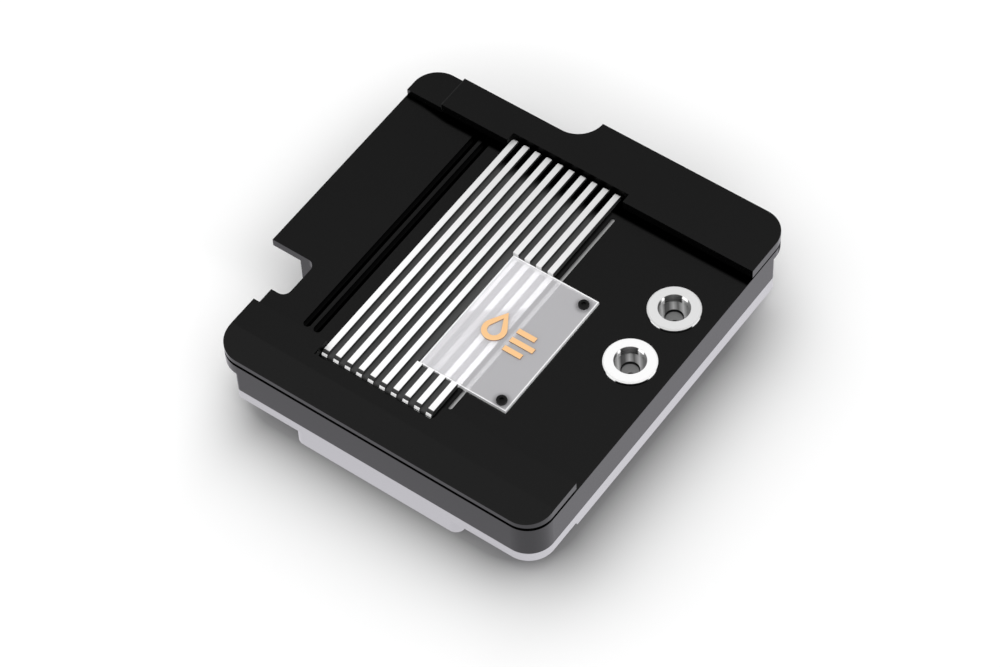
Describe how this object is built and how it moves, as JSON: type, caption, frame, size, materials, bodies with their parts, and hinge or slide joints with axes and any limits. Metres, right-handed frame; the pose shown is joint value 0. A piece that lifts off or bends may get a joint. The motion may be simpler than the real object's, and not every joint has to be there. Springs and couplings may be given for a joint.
{
  "type": "motherboard monoblock",
  "caption": "Liquid-cooling monoblock for a computer motherboard: finned cold plate, black body with two threaded coolant ports, polished ribs, clear plate and light bar.",
  "frame": {"origin": "middle of the overall plan box, in the plane of the contact pads' undersides", "axes": "+X to the right along the front edge, towards the ports; +Y to the back edge; +Z away from the motherboard"},
  "size_m": [0.169, 0.1766, 0.034],
  "materials": {
    "nickel": "satin nickel plating on copper",
    "jet_metal": "plain stainless sheet",
    "seal_rubber": "matt black rubber",
    "body_plastic": "fine matt black",
    "cover_metal": "black anodised, bead blasted",
    "carrier_plastic": "matt grey",
    "rib_metal": "polished",
    "clear_plastic": "clear acrylic with a light frost",
    "black_steel": "black oxide",
    "emblem_metal": "copper coloured foil",
    "light_guide": "milky light guide",
    "circuit_board": "solder mask",
    "port_chrome": "polished nickel plating"
  },
  "bodies": {
    "root": {"cold_plate": "nickel", "jet_plate": "jet_metal", "chamber_seal": "seal_rubber", "body": "body_plastic", "front_cover": "cover_metal", "rear_cover": "cover_metal", "corner_cover": "cover_metal", "rib_carrier": "carrier_plastic", "rib_1": "rib_metal", "rib_2": "rib_metal", "rib_3": "rib_metal", "rib_4": "rib_metal", "rib_5": "rib_metal", "rib_6": "rib_metal", "rib_7": "rib_metal", "rib_8": "rib_metal", "rib_9": "rib_metal", "rib_10": "rib_metal", "window_plate": "clear_plastic", "window_screws": "black_steel", "emblem": "emblem_metal", "light_bar": "light_guide", "led_board": "circuit_board", "front_port": "port_chrome", "rear_port": "port_chrome", "port_seals": "seal_rubber", "body_screws": "black_steel", "cover_screws": "black_steel"}
  },
  "joints": []
}
